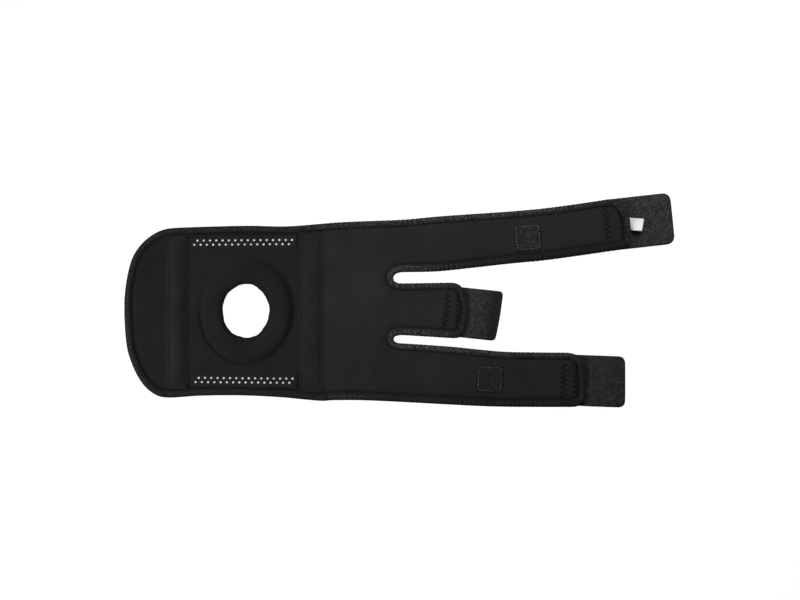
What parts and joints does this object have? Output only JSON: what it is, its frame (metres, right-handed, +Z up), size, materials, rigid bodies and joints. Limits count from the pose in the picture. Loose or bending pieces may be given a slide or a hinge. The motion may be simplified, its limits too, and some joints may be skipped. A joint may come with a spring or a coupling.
{
  "type": "knee support",
  "caption": "Open-patella wrap-around knee support, opened out flat: bound foam-rubber panels with a padded kneecap ring, stay pockets and hook-tape straps.",
  "frame": {"origin": "centre of the footprint, on the surface that the opened support lies on", "axes": "+X along the wrap from the free flap to the strap ends, +Y along the leg towards the upper strap, +Z up out of the inner face"},
  "size_m": [0.6586, 0.2566, 0.0095],
  "materials": {
    "panel_knit": "matt black knit over foam rubber",
    "binding_tape": "folded black tape, finely ribbed",
    "rib_knit": "matt black knit over padding",
    "grip_tape": "black tape with pale anti-slip dots",
    "patch_loop": "black loop pile",
    "hook_tape": "black nylon hook tape",
    "label_satin": "white satin ribbon"
  },
  "bodies": {
    "root": {"front_panel": "panel_knit", "wrap_panel": "panel_knit", "edge_binding": "binding_tape", "stay_pocket_left": "rib_knit", "stay_pocket_right": "rib_knit", "patella_pad": "rib_knit", "grip_strip_upper": "grip_tape", "grip_strip_lower": "grip_tape", "strap_patch_upper": "patch_loop", "strap_patch_lower": "patch_loop", "hook_tab_upper": "hook_tape", "hook_tab_middle": "hook_tape", "hook_tab_lower": "hook_tape", "size_label": "label_satin"}
  },
  "joints": []
}
